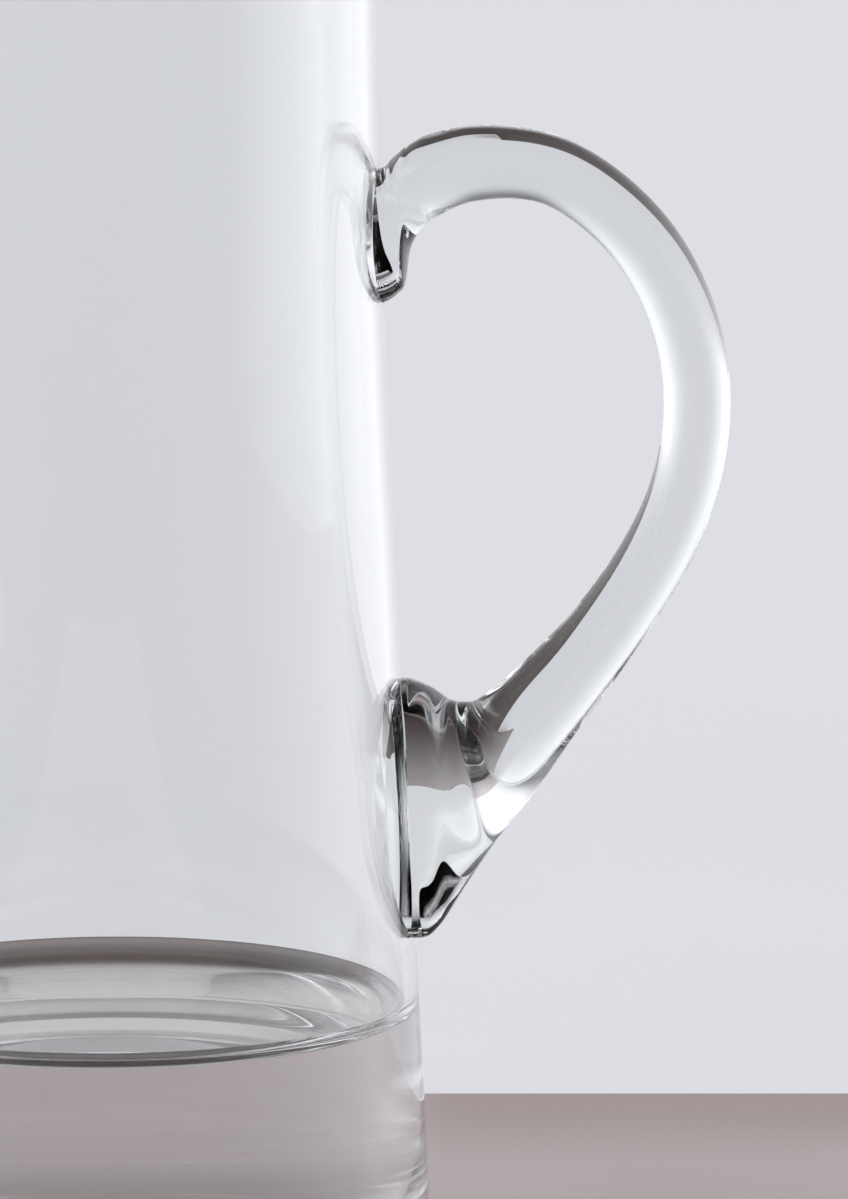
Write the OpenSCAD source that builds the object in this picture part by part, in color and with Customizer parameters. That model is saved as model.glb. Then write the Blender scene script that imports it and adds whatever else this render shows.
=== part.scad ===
// A mouth-blown glass pitcher. The vessel is blown in one piece, with a heavy base and a lip
// pulled from the rim. The handle is a solid rod of glass, set on the hot wall at two pads.
// The origin is the middle of the standing plane. +Z is up, the handle is on +X, the lip on -X.

/* [Vessel] */
// Height from the standing plane to the rim
height = 250; // [230:1:300]
// Diameter that the straight slope of the wall reaches at the standing plane
base_d = 110.5; // [98:0.5:125]
// Outside diameter at the rim
rim_d = 90; // [80:0.5:104]
// Height where the straight slope starts to turn upright
curve_start = 150; // [100:1:185]
// Thickness of the wall
wall = 2.4; // [1.8:0.1:4]
// Thickness of the glass over the middle of the base
base_t = 9; // [5:0.5:14]
// Radius of the rounded outer edge of the base
heel_r = 6; // [3:0.5:10]
// Radius of the rounded corner inside the base
floor_r = 16; // [8:0.5:24]
// Width of the flat ring that the pitcher stands on
ring_w = 7; // [3:0.5:12]
// Height of the hollow under the base
punt_h = 2.5; // [1:0.5:5]

/* [Lip] */
// How far the lip is pulled out past the rim
lip_reach = 11; // [6:0.5:16]
// Height of the band of wall that the lip is pulled from
lip_h = 36; // [24:1:40]
// Half of the angle that the lip takes up on the rim
lip_angle = 26; // [18:1:36]
// How far the rim is drawn down at the lip
lip_drop = 2; // [0:0.5:4]

/* [Handle] */
// Diameter of the rod round the bow
rod_d = 11.3; // [9:0.1:14]
// Distance from the wall to the outside of the bow
reach = 57.5; // [48:0.5:68]
// Height of the middle of the lower pad
lower_pad_z = 94; // [80:1:100]
// Height from the middle of the lower pad to the middle of the upper pad
pad_rise = 96; // [85:1:102]
// Height of the lower pad
lower_pad_h = 44; // [34:1:50]
// Width of the lower pad
lower_pad_w = 32; // [26:1:40]
// Height of the upper pad
upper_pad_h = 22.5; // [18:0.5:28]
// Width of the upper pad
upper_pad_w = 15.5; // [12:0.5:20]

/* [Hidden] */
$fn = 96;

slope = (base_d - rim_d) / (height + curve_start);
lean = atan(slope);
floor_z = punt_h + base_t;
seam_z = height - lip_h;
heel_x = base_d / 2 - slope * heel_r - heel_r / cos(lean);
floor_x = base_d / 2 - wall - slope * (floor_z + floor_r) - floor_r / cos(lean);
ring_in = heel_x - ring_w;
// The lip band stands this far past the wall where it grows out of it
lap = 0.03;
lip_sides = 80;
rod_sides = 28;

// Outside radius of the vessel: a straight slope that turns upright towards the rim
function outer_r(z) =
    base_d / 2 - slope * z
    + slope * pow(max(0, z - curve_start), 2) / (2 * (height - curve_start));

function arc(x, z, r, from, to, steps) =
    [for (i = [0:steps]) let (a = from + (to - from) * i / steps) [x + r * cos(a), z + r * sin(a)]];

// Heights at which the upright stretch of the wall is drawn
wall_z = [for (i = [0:8]) curve_start + (seam_z - curve_start) * i / 8];

outside = concat(
    arc(heel_x, heel_r, heel_r, -90, lean, 8),
    [for (z = wall_z) [outer_r(z), z]]
);

inside = concat(
    [for (i = [8:-1:0]) [outer_r(wall_z[i]) - wall, wall_z[i]]],
    arc(floor_x, floor_z + floor_r, floor_r, lean, -90, 10)
);

underside = [for (i = [0:8]) [ring_in * i / 8, punt_h * (1 - pow(i / 8, 2))]];

// Share of the pull at an angle from the middle of the lip, with a slight pinch on both sides
function pulled(turn) =
    exp(-pow(turn / lip_angle, 2))
    - 0.12 * exp(-pow((turn - 2 * lip_angle) / (0.7 * lip_angle), 2));

// One cut through the rim: up the outside, over the fire-polished edge, down the inside, and a
// tongue that reaches down into the middle of the wall
rim_mid = outer_r(height) - wall / 2;
rim_z = height - wall / 2;
band_z = [for (i = [0:7]) seam_z + (rim_z - seam_z) * i / 7];
seam_out = [(outer_r(seam_z) + lap) / cos(180 / lip_sides), seam_z];
seam_in = [outer_r(seam_z) - wall - lap, seam_z];
rim_cut = concat(
    [seam_out],
    [for (i = [1:7]) [outer_r(band_z[i]), band_z[i]]],
    arc(rim_mid, rim_z, wall / 2, 30, 150, 4),
    [for (i = [7:-1:1]) [outer_r(band_z[i]) - wall, band_z[i]]],
    [seam_in, [outer_r(seam_z) - wall / 2, seam_z - wall / 2]]
);

// A point of the rim's cut, carried round the axis and pulled out where the lip is
function lip_point(p, a) =
    let (share = pow(max(0, p[1] - seam_z) / lip_h, 2) * pulled(abs(a - 180)))
    let (r = p[0] + lip_reach * share)
    [r * cos(a), r * sin(a), p[1] - lip_drop * share];

// Two triangles between corner n of one ring and the next corner of the next ring
function patch(here, next, n, count) =
    let (m = (n + 1) % count)
    [
        [here * count + n, here * count + m, next * count + m],
        [here * count + n, next * count + m, next * count + n]
    ];

// Skin over rings with the same number of points, joined end to end or capped
module skin(rings, closed = false) {
    count = len(rings[0]);
    last = len(rings) - 1;
    sides = [
        for (i = [0:closed ? last : last - 1], n = [0:count - 1])
        each patch(i, (i + 1) % (last + 1), n, count)
    ];
    caps = closed ? [] : [
        [for (n = [count - 1:-1:0]) n],
        [for (n = [0:count - 1]) last * count + n]
    ];
    polyhedron([for (ring = rings) each ring], concat(sides, caps), convexity = 6);
}

// Stations of the handle from the upper pad, over the bow, to the lower pad. Each has the share
// of the reach, the share of the rise, the lean of its section, and how far it has grown from
// the rod to the pad in height and in width. The upper pad hangs down the wall as a drip, and the
// lower pad spreads both ways.
station_shares = [
    [-0.070, 1.000, 0, 1.00, 1.00],
    [0.010, 1.008, -1, 1.00, 0.85],
    [0.045, 1.023, -4, 0.96, 0.75],
    [0.068, 1.036, -3, 0.95, 0.70],
    [0.083, 1.058, -2, 0.74, 0.61],
    [0.100, 1.076, 0, 0.55, 0.50],
    [0.127, 1.094, 1, 0.41, 0.39],
    [0.171, 1.110, 1, 0.29, 0.28],
    [0.246, 1.126, 2, 0.19, 0.17],
    [0.335, 1.135, 5, 0.12, 0.11],
    [0.515, 1.129, 16, 0.03, 0.03],
    [0.683, 1.084, 34, 0, 0],
    [0.833, 1.006, 51, 0, 0],
    [0.936, 0.907, 66.5, 0, 0],
    [0.988, 0.797, 80.5, 0, 0],
    [0.988, 0.684, 94, 0, 0],
    [0.939, 0.572, 107, 0, 0],
    [0.848, 0.467, 117.5, 0.01, 0.01],
    [0.726, 0.368, 125, 0.02, 0.025],
    [0.610, 0.288, 129, 0.05, 0.04],
    [0.505, 0.224, 131, 0.085, 0.08],
    [0.407, 0.165, 137, 0.14, 0.125],
    [0.320, 0.113, 151, 0.23, 0.225],
    [0.252, 0.080, 163.5, 0.355, 0.37],
    [0.189, 0.053, 169.5, 0.52, 0.565],
    [0.135, 0.035, 173, 0.71, 0.755],
    [0.091, 0.020, 174.5, 0.865, 0.86],
    [0.047, 0.009, 175.5, 0.975, 0.895],
    [0.013, 0.006, 177, 1.00, 0.92],
    [-0.070, 0.006, 178, 1.00, 1.00]
];
spans = len(station_shares) - 1;

// Smooth run through the stations, at any place between the first and the last
function blend(a, b, c, d, t) =
    b + (c - a) * t / 2
    + (2 * a - 5 * b + 4 * c - d) * t * t / 2
    + (3 * b - a - 3 * c + d) * t * t * t / 2;

function station(at) =
    let (i = min(floor(at), spans - 1))
    blend(
        station_shares[max(i - 1, 0)],
        station_shares[i],
        station_shares[i + 1],
        station_shares[min(i + 2, spans)],
        at - i
    );

// Ring of the handle at a place along it, grown towards the pad of its own half
function rod_ring(at) =
    let (s = station(at))
    let (upper = at < spans / 2)
    let (pad_h = upper ? upper_pad_h : lower_pad_h)
    let (pad_w = upper ? upper_pad_w : lower_pad_w)
    let (half_h = rod_d / 2 + (pad_h - rod_d) / 2 * s[3])
    let (half_w = rod_d / 2 + (pad_w - rod_d) / 2 * s[4])
    let (z = lower_pad_z + pad_rise * s[1])
    let (x = outer_r(z) + (reach - rod_d / 2) * s[0])
    [
        for (n = [0:rod_sides - 1])
        let (a = 360 * n / rod_sides)
        let (up = half_h * cos(a))
        [x + up * sin(s[2]), half_w * sin(a), z + up * cos(s[2])]
    ];

// Everything inside the vessel's outer surface, for seating the handle on it
module vessel_outline() {
    rotate_extrude()
        polygon(concat(
            [[0, 0]],
            outside,
            [for (z = band_z) [outer_r(z) + 3 * lap, z]],
            [[0, rim_z]]
        ));
}

// Blown body and pulled lip
module vessel() {
    color([0.80, 0.88, 0.90, 0.5]) {
        union() {
            rotate_extrude()
                polygon(concat(underside, outside, inside, [[0, floor_z]]));
            skin(
                [for (j = [0:lip_sides - 1]) [for (p = rim_cut) lip_point(p, 360 * j / lip_sides)]],
                closed = true
            );
        }
    }
}

// Solid ear handle, cut to the wall at both pads
module handle() {
    color([0.70, 0.80, 0.84, 0.5]) {
        difference() {
            skin([for (i = [0:2 * spans]) rod_ring(i / 2)]);
            vessel_outline();
        }
    }
}

vessel();
handle();
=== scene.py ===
# %% [markdown]
# # A blown glass pitcher
# The pitcher is two pieces of clear glass. The vessel is blown in one go, with a heavy base and a
# lip pulled from the rim, and the handle is a solid rod that is bent into an ear and pressed on
# the hot wall. Glass has almost no colour of its own: what the eye sees is the table, the pale
# background and the soft light of the room, bent through the glass. So this lesson spends its
# effort on smooth shapes and on what stands around them.

# %% Load the measured solids
import math

import bmesh
import bpy
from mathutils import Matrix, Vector


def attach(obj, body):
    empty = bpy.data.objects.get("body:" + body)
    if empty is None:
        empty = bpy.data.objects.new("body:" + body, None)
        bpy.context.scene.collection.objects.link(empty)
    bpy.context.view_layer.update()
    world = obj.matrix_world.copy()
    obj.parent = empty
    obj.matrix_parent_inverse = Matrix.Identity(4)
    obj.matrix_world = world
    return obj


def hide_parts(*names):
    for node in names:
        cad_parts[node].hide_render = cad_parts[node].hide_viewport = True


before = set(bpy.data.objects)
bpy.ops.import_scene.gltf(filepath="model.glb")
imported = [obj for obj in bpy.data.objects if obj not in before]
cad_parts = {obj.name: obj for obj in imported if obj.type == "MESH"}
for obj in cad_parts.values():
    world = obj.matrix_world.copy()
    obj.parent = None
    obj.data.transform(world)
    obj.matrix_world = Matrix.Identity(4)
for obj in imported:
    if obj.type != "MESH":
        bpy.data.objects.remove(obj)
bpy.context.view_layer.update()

# %% [markdown]
# ## The camera
# The photograph was taken with a long lens from a little above, with the handle turned a few
# degrees towards the lens. A long lens is set by a large focal length, and the camera then stands
# well back. The whole picture shows only the middle of the pitcher, so the rim and the base are
# outside the frame.

# %% Camera
MM = 0.001
VIEW_TURN = math.radians(5.0)
VIEW_DOWN = math.radians(8.63)
camera_side = 52.9 * MM
camera_back = 1360.3 * MM
camera_high = 335.6 * MM
focal_length = 247.2

view_right = Vector((math.cos(VIEW_TURN), math.sin(VIEW_TURN), 0))
view_ahead = Vector((-math.sin(VIEW_TURN), math.cos(VIEW_TURN), 0))
bpy.ops.object.select_all(action="DESELECT")
bpy.ops.object.camera_add(
    location=view_right * camera_side - view_ahead * camera_back + Vector((0, 0, camera_high)),
    rotation=(math.pi / 2 - VIEW_DOWN, 0, VIEW_TURN),
)
camera = bpy.context.object
camera.data.lens = focal_length
camera.data.dof.use_dof = False
bpy.context.scene.camera = camera
print("camera at", tuple(round(v, 3) for v in camera.location))

# %% [markdown]
# ## Sizes
# The pitcher's wall is a straight slope that turns upright towards the rim. One short function
# gives its radius at any height, and the vessel, the water and the handle all use it, so they meet
# without any fitting.

# %% Sizes of the vessel
height = 250 * MM
base_d = 110.5 * MM
rim_d = 90 * MM
curve_start = 150 * MM
wall = 2.4 * MM
base_t = 9 * MM
heel_r = 6 * MM
floor_r = 16 * MM
ring_w = 7 * MM
punt_h = 2.5 * MM
slope = (base_d - rim_d) / (height + curve_start)
lean = math.atan(slope)


def wall_radius(z):
    bend = slope * max(0.0, z - curve_start) ** 2 / (2 * (height - curve_start))
    return base_d / 2 - slope * z + bend


print("radius at the rim", round(wall_radius(height) / MM, 2), "mm")

# %% [markdown]
# ## The lathe
# A turned shape is drawn as half of its outline, point by point with Extrude, and Spin then
# carries that outline round the axis. This is the lathe of 3-D modelling, and it suits anything
# blown or thrown. The doubles at the axis are merged before the normals are worked out.

# %% Lathe
SPIN_STEPS = 160
DOUBLES = 1e-6
SLIVERS = 1e-7


def lathe(name, outline):
    bpy.ops.object.select_all(action="DESELECT")
    bpy.ops.mesh.primitive_plane_add(size=MM)
    piece = bpy.context.object
    piece.name = piece.data.name = name
    bpy.ops.object.mode_set(mode="EDIT")
    bpy.ops.mesh.merge(type="CENTER")
    x, z = outline[0]
    bpy.ops.transform.translate(value=(x, 0, z))
    for (x0, z0), (x1, z1) in zip(outline, outline[1:]):
        step = (x1 - x0, 0, z1 - z0)
        bpy.ops.mesh.extrude_region_move(TRANSFORM_OT_translate={"value": step})
    bpy.ops.mesh.select_all(action="SELECT")
    bpy.ops.mesh.spin(steps=SPIN_STEPS, angle=2 * math.pi, center=(0, 0, 0), axis=(0, 0, 1))
    bpy.ops.mesh.select_all(action="SELECT")
    bpy.ops.mesh.remove_doubles(threshold=DOUBLES)
    bpy.ops.mesh.dissolve_degenerate(threshold=SLIVERS)
    bpy.ops.mesh.select_all(action="SELECT")
    bpy.ops.mesh.normals_make_consistent(inside=False)
    bpy.ops.object.mode_set(mode="OBJECT")
    return piece


print("the lathe turns in", SPIN_STEPS, "steps")

# %% [markdown]
# ## The vessel
# The outline starts under the base: a shallow hollow, the flat ring that the pitcher stands on,
# and a rounded heel. It goes up the outside, over a rim that the flame has rounded, and down the
# inside to a thick floor. Each stretch is cut into enough steps to look round.

# %% Outline of the vessel
HOLLOW_STEPS = 8
HEEL_STEPS = 10
WALL_STEPS = 60
RIM_STEPS = 7
CORNER_STEPS = 14
FLOOR_STEPS = 6
floor_z = punt_h + base_t
heel_x = base_d / 2 - slope * heel_r - heel_r / math.cos(lean)
floor_x = base_d / 2 - wall - slope * (floor_z + floor_r) - floor_r / math.cos(lean)
ring_in = heel_x - ring_w
rim_mid = wall_radius(height) - wall / 2
rim_z = height - wall / 2
wall_low = heel_r + 6 * MM
inside_low = floor_z + floor_r + 4 * MM


def arc(x, z, r, first, last, steps):
    turns = [first + (last - first) * i / steps for i in range(steps + 1)]
    return [(x + r * math.cos(a), z + r * math.sin(a)) for a in turns]


hollow = [i / HOLLOW_STEPS for i in range(HOLLOW_STEPS + 1)]
underside = [(ring_in * share, punt_h * (1 - share ** 2)) for share in hollow]
heights_up = [wall_low + (rim_z - wall_low) * i / WALL_STEPS for i in range(WALL_STEPS + 1)]
outside = arc(heel_x, heel_r, heel_r, -math.pi / 2, lean, HEEL_STEPS)
outside += [(wall_radius(z), z) for z in heights_up]
rim_edge = arc(rim_mid, rim_z, wall / 2, math.radians(20), math.radians(160), RIM_STEPS)
inside = [(wall_radius(z) - wall, z) for z in reversed(heights_up) if z > inside_low]
inside += arc(floor_x, floor_z + floor_r, floor_r, lean, -math.pi / 2, CORNER_STEPS)
inside += [(floor_x * (1 - i / FLOOR_STEPS), floor_z) for i in range(1, FLOOR_STEPS + 1)]
print("outline of", len(underside + outside + rim_edge + inside), "points")

# %% Vessel
vessel = lathe("blown_vessel", underside + outside + rim_edge + inside)
print("vessel", len(vessel.data.polygons), "faces")

# %% [markdown]
# ## Picking by place
# An operator acts on what is selected. By hand that is a click, and in a script it is a test: one
# helper makes a piece the only one picked, and another goes over its points, edges or faces and
# selects those that pass the test.

# %% Pick and choose


def pick(piece):
    bpy.ops.object.select_all(action="DESELECT")
    piece.select_set(True)
    bpy.context.view_layer.objects.active = piece


def choose(piece, kind, test):
    bpy.ops.mesh.select_all(action="DESELECT")
    mesh = bmesh.from_edit_mesh(piece.data)
    for part in getattr(mesh, kind):
        part.select = test(part)
    if kind == "verts":
        mesh.select_flush(True)
    bmesh.update_edit_mesh(piece.data)


pick(vessel)
print("picked", [piece.name for piece in bpy.context.selected_objects])

# %% [markdown]
# ## The pouring lip
# The glassmaker pulls the lip out of the soft rim with one push. Proportional editing does the
# same: a few points of the rim move out and a little down, and their neighbours follow less and
# less with distance.

# %% Lip
lip_reach = 10.4 * MM
lip_drop = 2 * MM
lip_spread = 34 * MM
push_half = 5 * MM
push_low = rim_z + 0.2 * MM


def is_pushed(v):
    return v.co.x < 0 and abs(v.co.y) < push_half and v.co.z > push_low


bpy.ops.object.mode_set(mode="EDIT")
choose(vessel, "verts", is_pushed)
bpy.ops.transform.translate(
    value=(-lip_reach, 0, -lip_drop),
    use_proportional_edit=True,
    proportional_edit_falloff="SMOOTH",
    proportional_size=lip_spread,
)
bpy.ops.object.mode_set(mode="OBJECT")
print("lip reaches", round(min(v.co.x for v in vessel.data.vertices) / MM, 1), "mm")

# %% [markdown]
# ## The handle
# The handle is a loft: ribs along an ear-shaped path, round on the rod and growing into broad pads
# at the wall. Each rib is a circle that is scaled to its thickness and width, turned to its lean,
# and bridged to the rib before it. Subdivision then draws one smooth skin over the ribs.

# %% Sizes of the handle
rod_d = 11.3 * MM
reach = 57.48 * MM
lower_pad_z = 94 * MM
pad_rise = 96 * MM
upper_pad = (22.5 * MM, 15.5 * MM)
lower_pad = (44 * MM, 32 * MM)
print("rod", round(rod_d / MM, 1), "mm, pads", upper_pad, lower_pad, "m")

# %% [markdown]
# ## The path of the handle
# Each rib is one row of shares, read off the picture along the rod: how far out it stands, how
# high, how far it leans, and how much it has grown from the round rod to the pad in height and in
# width. Shares keep the curve in proportion when the reach or the pads change.

# %% Ribs
# share of the reach, share of the rise, lean, growth of the height and of the width to the pad
ribs = [
    (-0.070, 1.000, 0, 1.00, 1.00),
    (0.010, 1.008, -1, 1.00, 0.85),
    (0.045, 1.023, -4, 0.96, 0.75),
    (0.068, 1.036, -3, 0.95, 0.70),
    (0.083, 1.058, -2, 0.74, 0.61),
    (0.100, 1.076, 0, 0.55, 0.50),
    (0.127, 1.094, 1, 0.41, 0.39),
    (0.171, 1.110, 1, 0.29, 0.28),
    (0.246, 1.126, 2, 0.19, 0.17),
    (0.335, 1.135, 5, 0.12, 0.11),
    (0.515, 1.129, 16, 0.03, 0.03),
    (0.683, 1.084, 34, 0, 0),
    (0.833, 1.006, 51, 0, 0),
    (0.936, 0.907, 66.5, 0, 0),
    (0.988, 0.797, 80.5, 0, 0),
    (0.988, 0.684, 94, 0, 0),
    (0.939, 0.572, 107, 0, 0),
    (0.848, 0.467, 117.5, 0.01, 0.01),
    (0.726, 0.368, 125, 0.02, 0.025),
    (0.610, 0.288, 129, 0.05, 0.04),
    (0.505, 0.224, 131, 0.085, 0.08),
    (0.407, 0.165, 137, 0.14, 0.125),
    (0.320, 0.113, 151, 0.23, 0.225),
    (0.252, 0.080, 163.5, 0.355, 0.37),
    (0.189, 0.053, 169.5, 0.52, 0.565),
    (0.135, 0.035, 173, 0.71, 0.755),
    (0.091, 0.020, 174.5, 0.865, 0.86),
    (0.047, 0.009, 175.5, 0.975, 0.895),
    (0.013, 0.006, 177, 1.00, 0.92),
    (-0.070, 0.006, 178, 1.00, 1.00),
]
spans = len(ribs) - 1
BOW = spans / 2
print(len(ribs), "ribs, the bow at rib", BOW)

# %% [markdown]
# ## A fair curve through the ribs
# Clear glass shows every kink, because a small change of slope bends the light. A cubic spline has
# no kinks in slope or in bend. It is drawn from control rows, so the rows are first pushed out a
# little, round after round, until the curve runs through the ribs themselves.

# %% Spline through the ribs
ROUNDS = 60
held = [list(rib) for rib in ribs]
for _ in range(ROUNDS):
    for i in range(1, spans):
        for k in range(len(ribs[i])):
            held[i][k] = (6 * ribs[i][k] - held[i - 1][k] - held[i + 1][k]) / 4


def between(place):
    i = min(int(place), spans - 1)
    t = place - i
    rows = [held[min(max(n, 0), spans)] for n in (i - 1, i, i + 1, i + 2)]
    shares = [
        (1 - t) ** 3,
        3 * t ** 3 - 6 * t * t + 4,
        3 * t + 3 * t * t - 3 * t ** 3 + 1,
        t ** 3,
    ]
    return [sum(w * v for w, v in zip(shares, column)) / 6 for column in zip(*rows)]


print("middle of the bow", [round(v, 3) for v in between(BOW)])

# %% [markdown]
# ## Ribs as circles
# A circle is added at each place, scaled to the rib's height and width, and turned to its lean.
# The ribs stand four to a span, close enough for the skin between them to be smooth.

# %% Draw the ribs
RIB_SIDES = 48
RIBS_TO_SPAN = 4


def add_rib(place):
    out, rise, tilt, grow_h, grow_w = between(place)
    pad_h, pad_w = upper_pad if place < BOW else lower_pad
    half_h = rod_d / 2 + (pad_h - rod_d) / 2 * grow_h
    half_w = rod_d / 2 + (pad_w - rod_d) / 2 * grow_w
    z = lower_pad_z + pad_rise * rise
    middle = Vector((wall_radius(z) + (reach - rod_d / 2) * out, 0, z))
    bpy.ops.mesh.select_all(action="DESELECT")
    bpy.ops.mesh.primitive_circle_add(vertices=RIB_SIDES, radius=1, location=middle)
    bpy.ops.transform.resize(value=(half_h, half_w, 1), center_override=middle)
    bpy.ops.transform.rotate(
        value=-math.radians(tilt - 90), orient_axis="Y", center_override=middle
    )


bpy.ops.object.select_all(action="DESELECT")
bpy.ops.mesh.primitive_plane_add(size=MM)
handle = bpy.context.object
handle.name = handle.data.name = "ear_handle"
bpy.ops.object.mode_set(mode="EDIT")
bpy.ops.mesh.select_all(action="SELECT")
bpy.ops.mesh.delete(type="VERT")
places = [i / RIBS_TO_SPAN for i in range(RIBS_TO_SPAN * spans + 1)]
for place in places:
    add_rib(place)
print(len(places), "circles")

# %% [markdown]
# ## The skin of the handle
# Bridge Edge Loops joins each circle to the next one, as a loft does. The two open ends are then
# filled, so that the rod is a closed solid.

# %% Bridge the ribs


def is_on(edge, pair):
    first, last = sorted(v.index // RIB_SIDES for v in edge.verts)
    return first == last and first in pair


for i in range(len(places) - 1):
    choose(handle, "edges", lambda edge: is_on(edge, (i, i + 1)))
    bpy.ops.mesh.bridge_edge_loops()
choose(handle, "edges", lambda edge: len(edge.link_faces) < 2)
bpy.ops.mesh.edge_face_add()
bpy.ops.mesh.select_all(action="SELECT")
bpy.ops.mesh.normals_make_consistent(inside=False)
bpy.ops.object.mode_set(mode="OBJECT")
print("handle", len(handle.data.vertices), "points", len(handle.data.polygons), "faces")

# %% [markdown]
# ## A rounder skin
# The real rod was drawn soft and has no flats. More ribs would do, but one level of Subdivision
# Surface rounds the skin along the rod and round it at the same time.

# %% Subdivide the skin
pick(handle)
soften = handle.modifiers.new("soften", "SUBSURF")
soften.levels = soften.render_levels = 1
bpy.ops.object.modifier_apply(modifier=soften.name)
print("handle", len(handle.data.polygons), "faces")

# %% [markdown]
# ## Finishes
# A shader is a small calculation. One class wraps a socket so that sums and products can be
# written as plain expressions, and each operator adds its Math node.

# %% Shader sums


class Value:
    def __init__(self, tree, socket):
        self.tree = tree
        self.socket = socket

    def work(self, operation, first, second):
        node = self.tree.nodes.new("ShaderNodeMath")
        node.operation = operation
        for slot, value in zip(node.inputs, (first, second)):
            if isinstance(value, Value):
                self.tree.links.new(value.socket, slot)
            else:
                slot.default_value = value
        return Value(self.tree, node.outputs[0])

    def __add__(self, other):
        return self.work("ADD", self, other)

    __radd__ = __add__

    def __sub__(self, other):
        return self.work("SUBTRACT", self, other)

    def __rsub__(self, other):
        return self.work("SUBTRACT", other, self)

    def __mul__(self, other):
        return self.work("MULTIPLY", self, other)

    __rmul__ = __mul__

    def __truediv__(self, other):
        return self.work("DIVIDE", self, other)

    def root(self):
        return self.work("SQRT", self, 0.0)


print("sums on sockets:", [name for name in vars(Value) if name.startswith("__r")])

# %% [markdown]
# ## Nodes in one call
# Any other node comes from one method: it adds the node, makes its settings, and then fills its
# sockets with numbers or links. Short methods on top of it give the three nodes that come back
# most: a mix of two colours, a soft fade, and the distance along a direction.

# %% Shader nodes


class Finish:
    def __init__(self, name, tree=None):
        if tree is None:
            self.material = bpy.data.materials.new(name)
            self.material.use_nodes = True
            tree = self.material.node_tree
            tree.nodes.clear()
        self.tree = tree

    def node(self, kind, settings=None, sockets=None, output=0):
        made = self.tree.nodes.new(kind)
        for key, value in (settings or {}).items():
            if key == "stops":
                ramp = made.color_ramp
                for n, (at, colour) in enumerate(value):
                    stop = ramp.elements[n] if n < 2 else ramp.elements.new(at)
                    stop.position = at
                    stop.color = colour
            else:
                setattr(made, key, value)
        for key, value in (sockets or {}).items():
            if isinstance(value, Value):
                self.tree.links.new(value.socket, made.inputs[key])
            else:
                made.inputs[key].default_value = value
        return Value(self.tree, made.outputs[output]) if made.outputs else None

    def mix(self, share, first, second):
        return self.node(
            "ShaderNodeMix", {"data_type": "RGBA"}, {0: share, 6: first, 7: second}, output=2
        )

    def fade(self, value, first, last, start, end):
        return self.node(
            "ShaderNodeMapRange",
            {"interpolation_type": "SMOOTHSTEP"},
            {"Value": value, "From Min": first, "From Max": last, "To Min": start, "To Max": end},
        )

    def along(self, place, direction):
        return self.node(
            "ShaderNodeVectorMath",
            {"operation": "DOT_PRODUCT"},
            {0: place, 1: direction},
            output=1,
        )

    def put_on(self, piece, shader):
        self.node("ShaderNodeOutputMaterial", sockets={"Surface": shader})
        piece.data.materials.append(self.material)


OBJECT_PLACE = 3  # the output of Texture Coordinate that gives Object coordinates
print("finish helpers:", [name for name in vars(Finish) if not name.startswith("_")])

# %% [markdown]
# ## Clear glass
# Blown glass is clear, but it isn't perfect: slow waves run over the wall where it was turned, and
# the tint and the polish change a little with them. The waves are one soft noise, which feeds a
# Bump node, the tint and the roughness. The handle is solid, so it takes more light than the thin
# wall, and its tint is deeper.

# %% Glass
GLASS_IOR = 1.5
WAVE_HEIGHT = 0.02 * MM
WAVE_DULL = 0.02


def clear_glass(name, piece, wave_size, pale, deep):
    glass = Finish(name)
    place = glass.node("ShaderNodeTexCoord", output=OBJECT_PLACE)
    waves = glass.node(
        "ShaderNodeTexNoise",
        sockets={"Vector": place, "Scale": wave_size, "Detail": 1.0, "Roughness": 0.4},
    )
    ripple = glass.node(
        "ShaderNodeBump", sockets={"Strength": 1.0, "Distance": WAVE_HEIGHT, "Height": waves}
    )
    shader = glass.node(
        "ShaderNodeBsdfPrincipled",
        sockets={
            "Base Color": glass.mix(waves, pale, deep),
            "Roughness": waves * WAVE_DULL,
            "IOR": GLASS_IOR,
            "Transmission Weight": 1.0,
            "Normal": ripple,
        },
    )
    glass.put_on(piece, shader)
    return glass.material


vessel_glass = clear_glass(
    "clear_vessel_glass", vessel, 30.0, (0.980, 0.986, 0.986, 1), (0.990, 0.994, 0.994, 1)
)
handle_glass = clear_glass(
    "clear_handle_glass", handle, 45.0, (0.900, 0.916, 0.913, 1), (0.935, 0.950, 0.948, 1)
)
print("glass", vessel_glass.name, handle_glass.name)

# %% [markdown]
# ## Cut the handle to the wall
# The ends of the rod still reach through the wall. On the real pitcher they stop in it, so they
# are cut back to the middle of the wall and stay out of the water. A Boolean with a turned core of
# that size cuts along the curve, which a flat Bisect couldn't do.

# %% Cut the handle's ends


def combine(piece, other, operation, materials="INDEX"):
    pick(piece)
    step = piece.modifiers.new("combine", "BOOLEAN")
    step.operation = operation
    step.solver = "EXACT"
    step.material_mode = materials
    step.object = other
    bpy.ops.object.modifier_apply(modifier=step.name)


core_outline = [(0, 0)] + outside[:-1] + [(wall_radius(rim_z) - wall / 2, rim_z), (0, rim_z)]
trim = lathe("trim_core", [(max(x - wall / 2, 0), z) for x, z in core_outline])
combine(handle, trim, "DIFFERENCE")
bpy.data.objects.remove(trim)
print("handle inside the wall cut away,", len(handle.data.polygons), "faces left")

# %% [markdown]
# ## The seat of the handle
# Each piece is a closed solid of its own, so both need a face where they meet. That face is the
# patch of the wall under the pads: the wall, intersected with the handle. Its finish has an alpha
# of 0, because nothing is seen there in fused glass.

# %% Finish of the joint
fused = Finish("fused_joint")
fused_shader = fused.node("ShaderNodeBsdfPrincipled", sockets={"Alpha": 0.0})
pick(vessel)
bpy.ops.object.duplicate()
seat = bpy.context.object
seat.data.materials.clear()
fused.put_on(seat, fused_shader)
print("copy of the wall with", [m.name for m in seat.data.materials])

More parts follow.
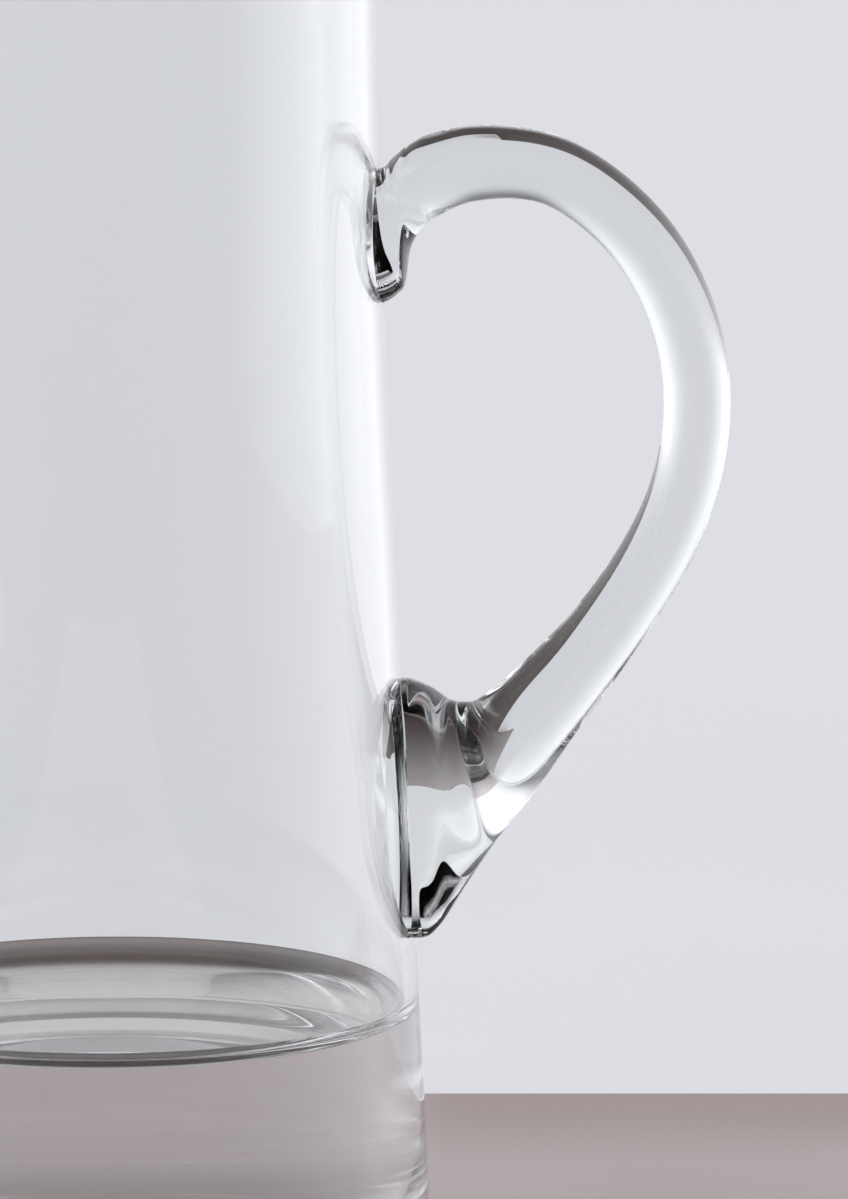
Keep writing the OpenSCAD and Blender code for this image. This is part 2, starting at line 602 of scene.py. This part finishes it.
# %% Seat under the pads
combine(seat, handle, "INTERSECT", "TRANSFER")
bpy.ops.object.mode_set(mode="EDIT")
bpy.ops.mesh.select_mode(type="FACE")
seat_finishes = list(seat.data.materials)
choose(seat, "faces", lambda face: seat_finishes[face.material_index] != fused.material)
bpy.ops.mesh.delete(type="FACE")
bpy.ops.mesh.select_mode(type="VERT")
bpy.ops.object.mode_set(mode="OBJECT")
bpy.ops.object.material_slot_remove_unused()
print("seat", len(seat.data.polygons), "faces", [m.name for m in seat.data.materials])

# %% [markdown]
# ## Fuse
# The handle was pressed on hot, so no surface is left between it and the wall, and light passes
# straight from one glass into the other. Two solids that only touch would show a mirror there. A
# Boolean union removes what lies inside the joint, and each face keeps its own finish.

# %% Fuse the handle to the wall
combine(vessel, handle, "UNION", "TRANSFER")
bpy.data.objects.remove(handle)
print("materials after the union", [m.name for m in vessel.data.materials])

# %% [markdown]
# ## Part
# The vessel and the handle are still two pieces of the assembly. Separate by Material gives them
# back from the union, and they now meet edge to edge.

# %% Part the two glasses
bpy.ops.object.mode_set(mode="EDIT")
bpy.ops.mesh.select_all(action="SELECT")
bpy.ops.mesh.separate(type="MATERIAL")
bpy.ops.object.mode_set(mode="OBJECT")
parted = list(bpy.context.selected_objects)
vessel = next(p for p in parted if p.data.materials[0] == vessel_glass)
handle = next(p for p in parted if p.data.materials[0] == handle_glass)
handle.name = handle.data.name = "ear_handle"
vessel.name = vessel.data.name = "blown_vessel"
for piece in parted:
    print(piece.name, [m.name for m in piece.data.materials], len(piece.data.polygons))

# %% [markdown]
# ## Close
# A copy of the seat closes each piece. Its faces point out of the wall, so the handle's copy is
# flipped. The doubles along the border are merged, and the border is marked sharp, so that the
# seat doesn't bend the shading of the glass beside it.

# %% Close both pieces with the seat
BORDER_DOUBLES = 2e-6


def close_with_seat(piece, turned):
    pick(seat)
    bpy.ops.object.duplicate()
    bpy.ops.object.mode_set(mode="EDIT")
    bpy.ops.mesh.select_all(action="SELECT")
    if turned:
        bpy.ops.mesh.flip_normals()
    bpy.ops.object.mode_set(mode="OBJECT")
    piece.select_set(True)
    bpy.context.view_layer.objects.active = piece
    bpy.ops.object.join()
    bpy.ops.object.mode_set(mode="EDIT")
    bpy.ops.mesh.select_all(action="SELECT")
    bpy.ops.mesh.remove_doubles(threshold=BORDER_DOUBLES)
    bpy.ops.mesh.select_all(action="DESELECT")
    mesh = bmesh.from_edit_mesh(piece.data)
    for edge in mesh.edges:
        edge.smooth = len({face.material_index for face in edge.link_faces}) < 2
    bmesh.update_edit_mesh(piece.data)
    open_edges = sum(len(edge.link_faces) != 2 for edge in mesh.edges)
    bpy.ops.object.mode_set(mode="OBJECT")
    print(piece.name, len(piece.data.polygons), "faces, edges not closed:", open_edges)


close_with_seat(vessel, False)
close_with_seat(handle, True)
bpy.data.objects.remove(seat)

# %% [markdown]
# ## Place in the frame
# Each piece is shaded smooth, except across sharp edges. It stands for the measured solid of the
# same part, and rides on the one body.

# %% Join the frame


def smooth(piece, degrees=35):
    pick(piece)
    bpy.ops.object.shade_smooth_by_angle(angle=math.radians(degrees))


smooth(vessel)
smooth(handle)
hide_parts("vessel")
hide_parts("handle")
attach(vessel, "root")
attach(handle, "root")
print("vessel", len(vessel.data.polygons), "faces, handle", len(handle.data.polygons), "faces")

# %% [markdown]
# ## Water on the stage
# The pitcher in the picture holds a little water. It is contents, not part of the pitcher, so it
# belongs to the stage. It reaches a hair into the glass, so that no film of air is left between
# them, and its surface climbs the wall in a small curve.

# %% Shape of the water
SHORE_STEPS = 24
SIDE_STEPS = 12
water_z = 58.4 * MM
climb = 3.9 * MM
climb_width = 2.2 * MM
shore = 18 * MM
soak = 0.15 * MM
water_top = []
for i in range(SHORE_STEPS + 1):
    away = shore * (1 - i / SHORE_STEPS) ** 2
    z = water_z + climb * math.exp(-away / climb_width)
    water_top.append((wall_radius(z) - wall + soak - away, z))
water_depth = water_z + climb - floor_z - floor_r
wall_steps = [water_z + climb - water_depth * i / SIDE_STEPS for i in range(1, SIDE_STEPS)]
water_wall = [(wall_radius(z) - wall + soak, z) for z in wall_steps]
water_floor = arc(floor_x, floor_z + floor_r, floor_r + soak, lean, -math.pi / 2, CORNER_STEPS)
water_outline = [(0, water_z)] + water_top + water_wall + water_floor + [(0, floor_z - soak)]
water = lathe("water", water_outline)
smooth(water, 60)
print("water", len(water.data.polygons), "faces, surface at", round(water_z / MM, 1), "mm")

# %% [markdown]
# ## The look of water
# Still water is clearer than glass and bends light less, with an index of 1.333. A very low swell
# keeps its surface from looking like a cut sheet.

# %% Water finish
SWELL_HEIGHT = 0.01 * MM
wet = Finish("still_water")
wet_place = wet.node("ShaderNodeTexCoord", output=OBJECT_PLACE)
swell = wet.node("ShaderNodeTexNoise", sockets={"Vector": wet_place, "Scale": 20.0, "Detail": 1.0})
wet_shader = wet.node(
    "ShaderNodeBsdfPrincipled",
    sockets={
        "Base Color": wet.mix(swell, (0.995, 1.0, 1.0, 1), (1.0, 1.0, 1.0, 1)),
        "Roughness": 0.0,
        "IOR": 1.333,
        "Transmission Weight": 1.0,
        "Normal": wet.node("ShaderNodeBump", sockets={"Distance": SWELL_HEIGHT, "Height": swell}),
    },
)
wet.put_on(water, wet_shader)
print("water finish", wet.material.name)

# %% [markdown]
# ## The board
# The pitcher stands on a stained board. Its far edge is close behind the pitcher, because the
# handle turns the scene upside down as a lens does, and shows that board as a dark band along its
# top. A leaf of the board goes on behind the body, where only the water shows it. It is a cube,
# scaled to a plank, cut by Bisect, and drawn out by Extrude.

# %% Shape of the board
board_far = 210 * MM
leaf_far = 320 * MM
leaf_right = 50 * MM
board_near = -2600 * MM
board_half = 600 * MM
board_t = 25 * MM


def is_leaf_end(face):
    return face.normal.y > 0.9 and face.calc_center_median().x < leaf_right


bpy.ops.object.select_all(action="DESELECT")
bpy.ops.mesh.primitive_cube_add(size=1)
board = bpy.context.object
board.name = board.data.name = "table_board"
bpy.ops.object.mode_set(mode="EDIT")
bpy.ops.transform.resize(value=(2 * board_half, board_far - board_near, board_t))
bpy.ops.transform.translate(value=(0, (board_far + board_near) / 2, -board_t / 2))
bpy.ops.mesh.select_all(action="SELECT")
bpy.ops.mesh.bisect(plane_co=(leaf_right, 0, 0), plane_no=(1, 0, 0))
bpy.ops.mesh.select_mode(type="FACE")
choose(board, "faces", is_leaf_end)
bpy.ops.mesh.extrude_region_move(TRANSFORM_OT_translate={"value": (0, leaf_far - board_far, 0)})
bpy.ops.mesh.select_mode(type="VERT")
bpy.ops.mesh.select_all(action="SELECT")
bpy.ops.transform.rotate(value=-VIEW_TURN, orient_axis="Z", center_override=(0, 0, 0))
bpy.ops.object.mode_set(mode="OBJECT")
print("board", [tuple(round(c, 3) for c in v.co) for v in board.data.vertices])

# %% [markdown]
# ## Grain and lacquer
# The grain is a noise that is drawn out along the plank by a Mapping node. The lacquer is a little
# uneven, which a second noise gives. Beside the pitcher its coat is also thinned to nothing
# towards the far edge, as painted shade that darkens that edge. Behind the body the coat stays
# full, as a painted reflection that brightens the board seen through the water.

# %% Grain and lacquer
GRAIN_STRETCH = (3, 40, 40)
far_edge_shade_width = 70 * MM
open_from = 40 * MM
open_to = 60 * MM
stain = Finish("board_taupe")
plank = stain.node("ShaderNodeTexCoord", output=OBJECT_PLACE)
drawn = stain.node(
    "ShaderNodeMapping",
    sockets={"Vector": plank, "Rotation": (0, 0, VIEW_TURN), "Scale": GRAIN_STRETCH},
)
grain = stain.node(
    "ShaderNodeTexNoise", sockets={"Vector": drawn, "Scale": 1.0, "Detail": 4.0, "Roughness": 0.6}
)
blotch = stain.node("ShaderNodeTexNoise", sockets={"Vector": plank, "Scale": 28.0, "Detail": 2.0})
depth = stain.along(plank, view_ahead)
side = stain.along(plank, view_right)
open_side = stain.fade(side, open_from, open_to, 0.0, 1.0)
# painted shade: on the open side the coat thins to nothing at the far edge to darken it; behind
# the body it stays full as a painted reflection
far_edge_shade = stain.fade(depth, board_far - far_edge_shade_width, board_far, 0.2, 1.0)
lacquer_with_painted_shade = (1 - open_side * far_edge_shade) * (0.8 + blotch * 0.4)
print("board nodes", len(stain.tree.nodes))

# %% [markdown]
# ## The pool of light
# The base and the water gather the light of the room in a soft pool on the board behind the
# pitcher. Tracing such a caustic takes very many samples, so it is drawn as a faint glow: an oval
# that fades out from its middle.

# %% Pool of light
pool_at = 52 * MM
pool_half_w = 52 * MM
pool_half_d = 38 * MM
pool_x = side / pool_half_w
pool_y = (depth - pool_at) / pool_half_d
pool = stain.fade((pool_x * pool_x + pool_y * pool_y).root(), 0.3, 1.1, 1.0, 0.0)
print("board nodes", len(stain.tree.nodes))

# %% [markdown]
# ## Stain
# The stain is dark when the eye looks down on it, and pale when it looks along it, as any
# lacquered wood is. So the colour is dark, and a coat and a sheen give the pale look along the
# board.

# %% Board finish
stain_shader = stain.node(
    "ShaderNodeBsdfPrincipled",
    sockets={
        "Base Color": stain.mix(grain, (0.030, 0.019, 0.016, 1), (0.046, 0.029, 0.025, 1)),
        "Roughness": 0.12 + grain * 0.08,
        "IOR": 1.5,
        "Coat Weight": lacquer_with_painted_shade,
        "Coat Roughness": 0.1,
        "Sheen Weight": 1.0,
        "Sheen Tint": (1.0, 0.68, 0.61, 1),
        "Sheen Roughness": 0.3,
        "Emission Color": stain.mix(pool, (0, 0, 0, 1), (0.52, 0.515, 0.51, 1)),
        "Emission Strength": 1.0,
    },
)
stain.put_on(board, stain_shader)
print("board finish", stain.material.name)

# %% [markdown]
# ## The floor
# A pale floor lies under the board and fades out into the room, so that no horizon shows. It is a
# disc with a faint mottle, and its alpha falls with the distance from the middle.

# %% Floor
floor_half = 1.0
fade_from = 0.45
fade_to = 0.95
bpy.ops.object.select_all(action="DESELECT")
bpy.ops.mesh.primitive_circle_add(vertices=96, radius=floor_half, fill_type="NGON")
floor = bpy.context.object
floor.name = floor.data.name = "pale_floor"
bpy.ops.object.mode_set(mode="EDIT")
bpy.ops.transform.translate(value=(0, 0, -board_t))
bpy.ops.object.mode_set(mode="OBJECT")
chalk = Finish("pale_floor")
spot = chalk.node("ShaderNodeTexCoord", output=OBJECT_PLACE)
far = chalk.node("ShaderNodeVectorMath", {"operation": "LENGTH"}, {0: spot}, output=1)
mottle = chalk.node("ShaderNodeTexNoise", sockets={"Vector": spot, "Scale": 5.0, "Detail": 3.0})
chalk_shader = chalk.node(
    "ShaderNodeBsdfPrincipled",
    sockets={
        "Base Color": chalk.mix(mottle, (0.715, 0.720, 0.750, 1), (0.745, 0.750, 0.780, 1)),
        "Roughness": 0.9,
        "Alpha": chalk.fade(far, fade_from, fade_to, 1.0, 0.0),
    },
)
chalk.put_on(floor, chalk_shader)
print("floor", len(floor.data.vertices), "corners")

# %% [markdown]
# ## The room
# Glass shows the whole room, so the room is drawn with care. It is pale straight behind the
# pitcher, brighter at both sides of that, and dim behind the camera, which gives the bright edges
# of the body and the handle. A ramp holds these tones, and a multiply cools them a little.

# %% Tones of the room
# place from behind the camera, 0, to straight behind the pitcher, 1, and the tone there
TONES = [
    (0.00, 0.12), (0.24, 0.30), (0.45, 0.65), (0.60, 0.90), (0.72, 1.20),
    (0.80, 1.30), (0.89, 1.20), (0.95, 0.94), (0.985, 0.78), (1.00, 0.75),
]
BRIGHT = 1.5
world = bpy.data.worlds.new("pale_room")
bpy.context.scene.world = world
world.use_nodes = True
world.node_tree.nodes.clear()
room = Finish("pale_room", world.node_tree)
look = room.node("ShaderNodeTexCoord")
rise_of = room.along(look, (0, 0, 1))
facing = room.along(look, view_ahead) / (1.0 - rise_of * rise_of).root()
tones = room.node(
    "ShaderNodeValToRGB",
    {"stops": [(at, (tone / BRIGHT,) * 3 + (1,)) for at, tone in TONES]},
    {0: facing * 0.5 + 0.5},
)
cool = room.node(
    "ShaderNodeMix",
    {"data_type": "RGBA", "blend_type": "MULTIPLY"},
    {0: 1.0, 6: tones, 7: (0.975, 0.985, 1.03, 1)},
    output=2,
)
print("room with", len(TONES), "tones")

# %% [markdown]
# ## Ceiling and window
# The room grows dim overhead, which keeps the water's surface grey. A soft window at the left
# whitens the lower pad. The camera itself sees one plain pale colour, which Light Path gives.

# %% Ceiling and window
BACKDROP = (0.73, 0.737, 0.775, 1)
ceiling = room.fade(facing, 0.2, 0.8, 0.15, 0.40)
height_fade = room.fade(rise_of, 0.35, 0.8, 1.0, 0.0)
dimmed = ceiling + (1 - ceiling) * height_fade
leftward = room.along(look, -view_right)
window = room.fade(leftward, 0.80, 0.94, 0.0, 1.0) * room.fade(rise_of, 0.30, 0.45, 1.0, 0.0)
level = dimmed * BRIGHT * (1 + window)
around = room.node("ShaderNodeBackground", sockets={"Color": cool, "Strength": level})
behind = room.node("ShaderNodeBackground", sockets={"Color": BACKDROP, "Strength": 1.0})
seen = room.node("ShaderNodeLightPath")
both = room.node("ShaderNodeMixShader", sockets={0: seen, 1: around, 2: behind})
room.node("ShaderNodeOutputWorld", sockets={"Surface": both})
print("room nodes", len(room.tree.nodes))

# %% [markdown]
# ## The light
# One large softbox hangs over the pitcher, as in a studio for glass. It lights the board and the
# floor, and the glass doesn't mirror it, because the picture shows no such spot.

# %% Softbox
box_side = 3.0
box_high = 2.2
box_ahead = 0.5
box_level = 1.8
bpy.ops.object.select_all(action="DESELECT")
bpy.ops.object.light_add(
    type="AREA",
    location=view_ahead * box_ahead + Vector((0, 0, box_high)),
    rotation=(0, 0, VIEW_TURN),
)
softbox = bpy.context.object
softbox.name = "top_softbox"
softbox.data.shape = "RECTANGLE"
softbox.data.size = softbox.data.size_y = box_side
softbox.data.energy = box_level * math.pi * box_side * box_side
softbox.visible_glossy = False
softbox.visible_transmission = False
print("softbox", round(softbox.data.energy, 1), "W")

# %% [markdown]
# ## Finish
# Light goes through many surfaces of glass and water before it reaches the camera, and a light
# path that stops early turns black, so the limits on bounces are raised.

# %% Finish
BOUNCES = 48
scene = bpy.context.scene
scene.view_settings.view_transform = "Standard"
scene.cycles.max_bounces = BOUNCES
scene.cycles.transmission_bounces = BOUNCES
scene.cycles.glossy_bounces = BOUNCES
scene.cycles.transparent_max_bounces = BOUNCES
